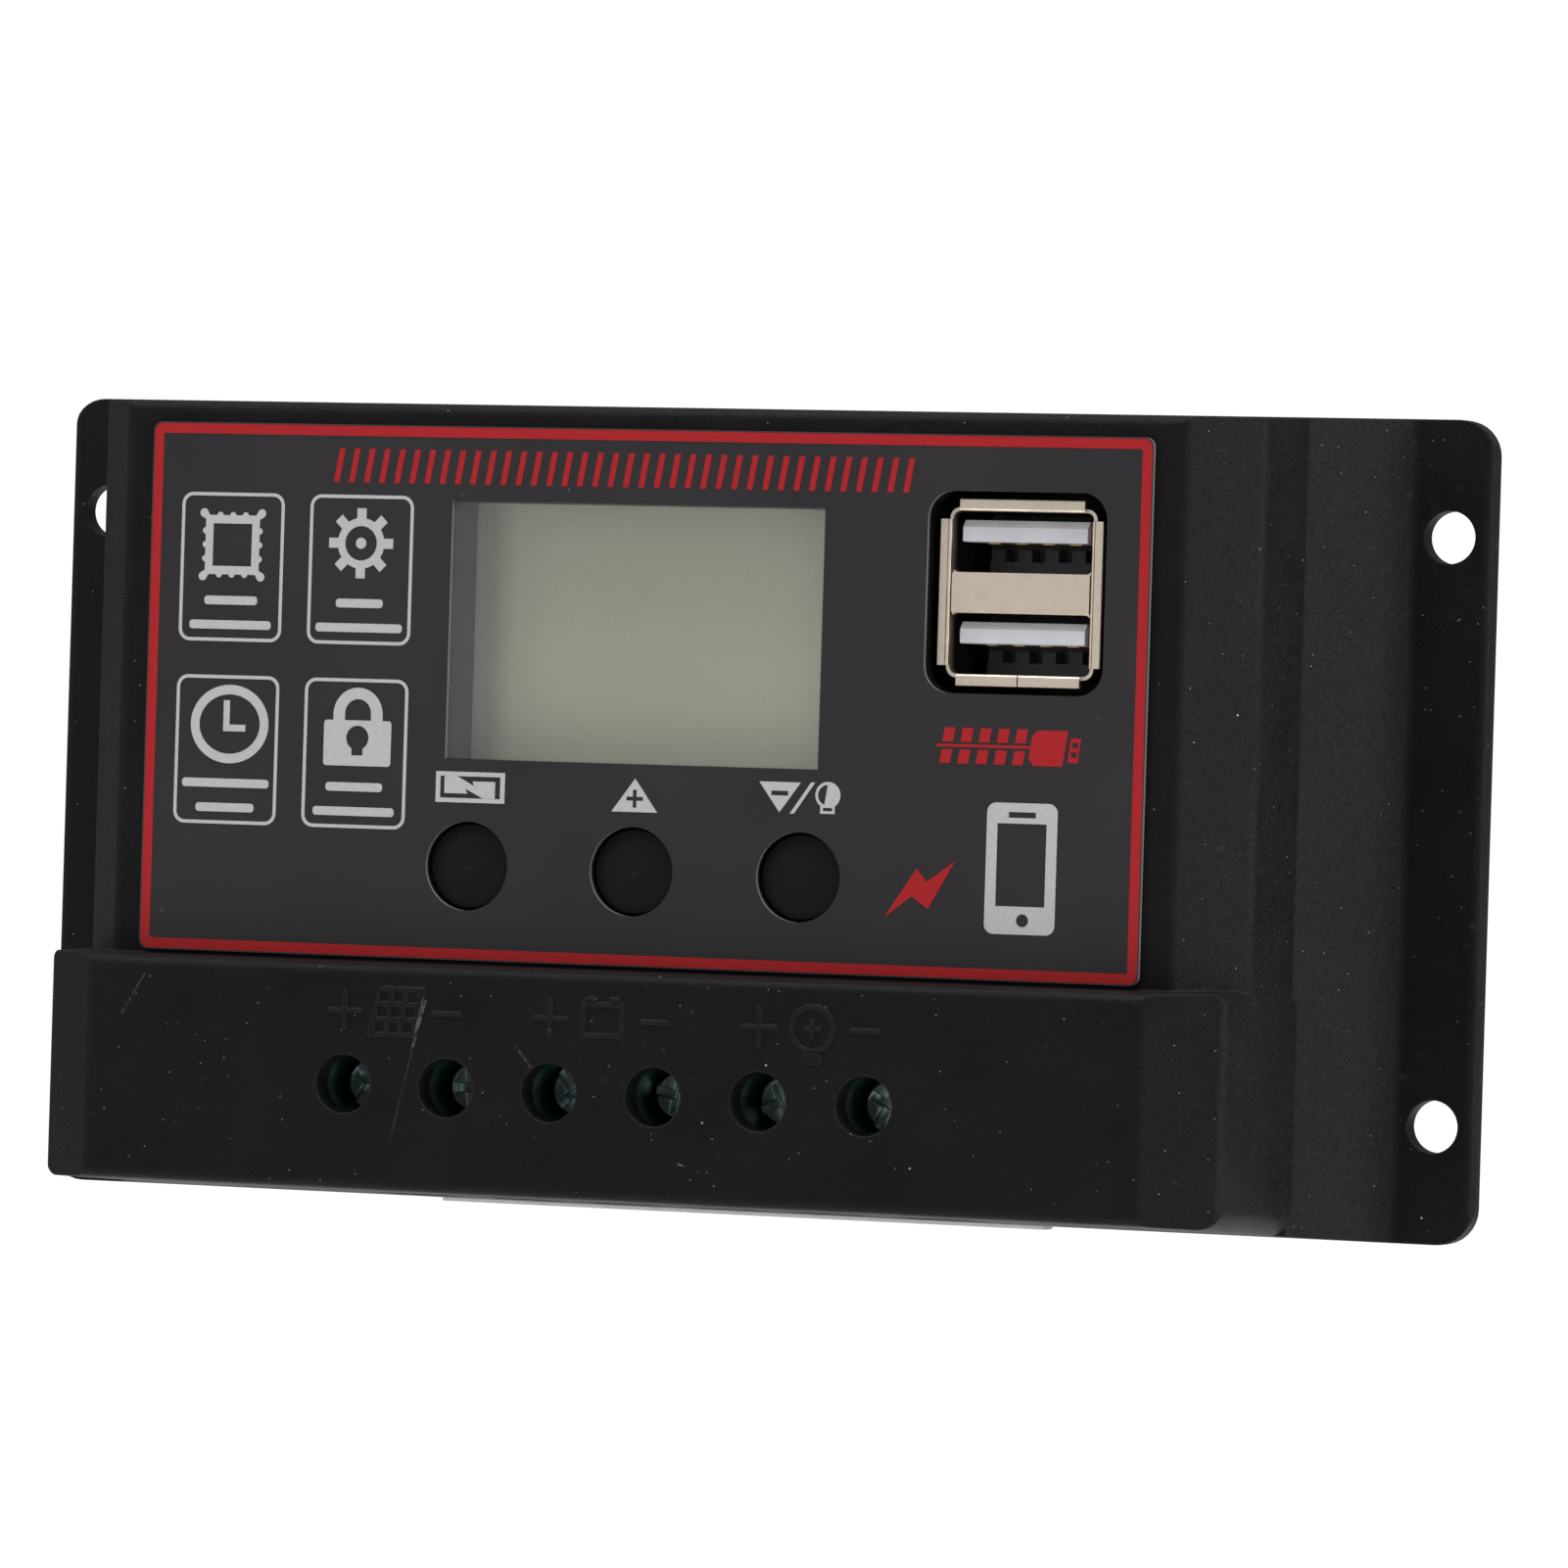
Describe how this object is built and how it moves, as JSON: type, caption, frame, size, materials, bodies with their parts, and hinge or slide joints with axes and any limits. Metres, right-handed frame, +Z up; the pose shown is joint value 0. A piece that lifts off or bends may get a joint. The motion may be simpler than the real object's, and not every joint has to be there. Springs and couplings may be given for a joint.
{
  "type": "solar charge controller",
  "caption": "Wall-mounted solar charge controller: black case with display window, push buttons, twin USB ports and a screw terminal row behind a raised hump.",
  "frame": {"origin": "centre of the four wall-mounting holes, in the plane of the back face that rests on the wall", "axes": "+Z up as mounted on a wall, +X to the right seen from the front, +Y into the wall; the face looks along -Y"},
  "size_m": [0.1334, 0.0344, 0.0703],
  "materials": {
    "case_plastic": "fine moulded grain",
    "plate_metal": "brushed",
    "overlay": "satin printed overlay",
    "clear_lens": "clear",
    "lcd": "unpowered display, satin",
    "film": "satin",
    "diffuser": "frosted",
    "white_plastic": "moulded",
    "tin": "tinned",
    "circuit_board": "solder mask",
    "nickel": "nickel plate",
    "dark_plastic": "moulded",
    "pale_plastic": "moulded",
    "gold": "plated",
    "button_plastic": "satin",
    "sheet_steel": "satin",
    "green_plastic": "moulded",
    "zinc_screw": "zinc plate",
    "clamp_steel": "plated",
    "epoxy": "moulded",
    "tab_metal": "tinned",
    "steel_screw": "zinc plate",
    "pad_rubber": "matte",
    "capacitor_sleeve": "sleeved",
    "ferrite": "matte",
    "copper": "enamelled wire",
    "shunt_alloy": "drawn wire"
  },
  "bodies": {
    "case": {"front_cover": "case_plastic", "back_cover": "case_plastic", "heat_sink_plate": "plate_metal", "face_label": "overlay", "window_lens": "clear_lens", "lcd_glass": "lcd", "lcd_reflector": "film", "backlight_panel": "diffuser", "display_frame": "white_plastic", "display_pins": "tin", "main_board": "circuit_board", "usb_shell": "nickel", "usb_insulator": "dark_plastic", "usb_tongues": "pale_plastic", "usb_contacts": "gold", "switch_bodies": "dark_plastic", "switch_covers": "sheet_steel", "terminal_housing": "green_plastic", "contact_plates": "tin", "mosfet_bodies": "epoxy", "mosfet_tabs": "tab_metal", "mosfet_leads": "tin", "mosfet_screws": "steel_screw", "insulating_pad": "pad_rubber", "input_capacitor": "capacitor_sleeve", "output_capacitors": "capacitor_sleeve", "inductor_core": "ferrite", "inductor_coil": "copper", "control_chip": "epoxy", "control_chip_leads": "tin", "regulator_chip": "epoxy", "diodes": "epoxy", "resistors": "epoxy", "crystal": "sheet_steel", "shunt_wires": "shunt_alloy", "case_screws": "steel_screw", "board_screws": "steel_screw", "plate_screws": "steel_screw"},
    "menu_key": {"menu_button": "button_plastic", "menu_switch_stem": "dark_plastic"},
    "up_key": {"up_button": "button_plastic", "up_switch_stem": "dark_plastic"},
    "down_key": {"down_button": "button_plastic", "down_switch_stem": "dark_plastic"},
    "screw_1": {"terminal_screw_1": "zinc_screw"},
    "clamp_1": {"wire_clamp_1": "clamp_steel"},
    "screw_2": {"terminal_screw_2": "zinc_screw"},
    "clamp_2": {"wire_clamp_2": "clamp_steel"},
    "screw_3": {"terminal_screw_3": "zinc_screw"},
    "clamp_3": {"wire_clamp_3": "clamp_steel"},
    "screw_4": {"terminal_screw_4": "zinc_screw"},
    "clamp_4": {"wire_clamp_4": "clamp_steel"},
    "screw_5": {"terminal_screw_5": "zinc_screw"},
    "clamp_5": {"wire_clamp_5": "clamp_steel"},
    "screw_6": {"terminal_screw_6": "zinc_screw"},
    "clamp_6": {"wire_clamp_6": "clamp_steel"}
  },
  "joints": [
    {"name": "menu_press", "type": "slide", "parent": "case", "child": "menu_key", "axis": [0, 1, 0], "range_m": [0, 0.0005], "stiffness_N_per_m": 1600, "springref_m": -0.0006},
    {"name": "up_press", "type": "slide", "parent": "case", "child": "up_key", "axis": [0, 1, 0], "range_m": [0, 0.0005], "stiffness_N_per_m": 1600, "springref_m": -0.0006},
    {"name": "down_press", "type": "slide", "parent": "case", "child": "down_key", "axis": [0, 1, 0], "range_m": [0, 0.0005], "stiffness_N_per_m": 1600, "springref_m": -0.0006},
    {"name": "screw_turn_1", "type": "hinge", "parent": "case", "child": "screw_1", "pos_m": [-0.02375, -0.025, -0.0242], "axis": [0, 1, 0], "range_deg": [0, 2448]},
    {"name": "clamp_lift_1", "type": "slide", "parent": "case", "child": "clamp_1", "axis": [0, -1, 0], "range_m": [0, 0.0034]},
    {"name": "screw_turn_2", "type": "hinge", "parent": "case", "child": "screw_2", "pos_m": [-0.01425, -0.025, -0.0242], "axis": [0, 1, 0], "range_deg": [0, 2448]},
    {"name": "clamp_lift_2", "type": "slide", "parent": "case", "child": "clamp_2", "axis": [0, -1, 0], "range_m": [0, 0.0034]},
    {"name": "screw_turn_3", "type": "hinge", "parent": "case", "child": "screw_3", "pos_m": [-0.00475, -0.025, -0.0242], "axis": [0, 1, 0], "range_deg": [0, 2448]},
    {"name": "clamp_lift_3", "type": "slide", "parent": "case", "child": "clamp_3", "axis": [0, -1, 0], "range_m": [0, 0.0034]},
    {"name": "screw_turn_4", "type": "hinge", "parent": "case", "child": "screw_4", "pos_m": [0.00475, -0.025, -0.0242], "axis": [0, 1, 0], "range_deg": [0, 2448]},
    {"name": "clamp_lift_4", "type": "slide", "parent": "case", "child": "clamp_4", "axis": [0, -1, 0], "range_m": [0, 0.0034]},
    {"name": "screw_turn_5", "type": "hinge", "parent": "case", "child": "screw_5", "pos_m": [0.01425, -0.025, -0.0242], "axis": [0, 1, 0], "range_deg": [0, 2448]},
    {"name": "clamp_lift_5", "type": "slide", "parent": "case", "child": "clamp_5", "axis": [0, -1, 0], "range_m": [0, 0.0034]},
    {"name": "screw_turn_6", "type": "hinge", "parent": "case", "child": "screw_6", "pos_m": [0.02375, -0.025, -0.0242], "axis": [0, 1, 0], "range_deg": [0, 2448]},
    {"name": "clamp_lift_6", "type": "slide", "parent": "case", "child": "clamp_6", "axis": [0, -1, 0], "range_m": [0, 0.0034]}
  ],
  "couplings": [
    {"joint": "screw_turn_1", "follows": "clamp_lift_1", "rad_per_m": 12566},
    {"joint": "screw_turn_2", "follows": "clamp_lift_2", "rad_per_m": 12566},
    {"joint": "screw_turn_3", "follows": "clamp_lift_3", "rad_per_m": 12566},
    {"joint": "screw_turn_4", "follows": "clamp_lift_4", "rad_per_m": 12566},
    {"joint": "screw_turn_5", "follows": "clamp_lift_5", "rad_per_m": 12566},
    {"joint": "screw_turn_6", "follows": "clamp_lift_6", "rad_per_m": 12566}
  ]
}
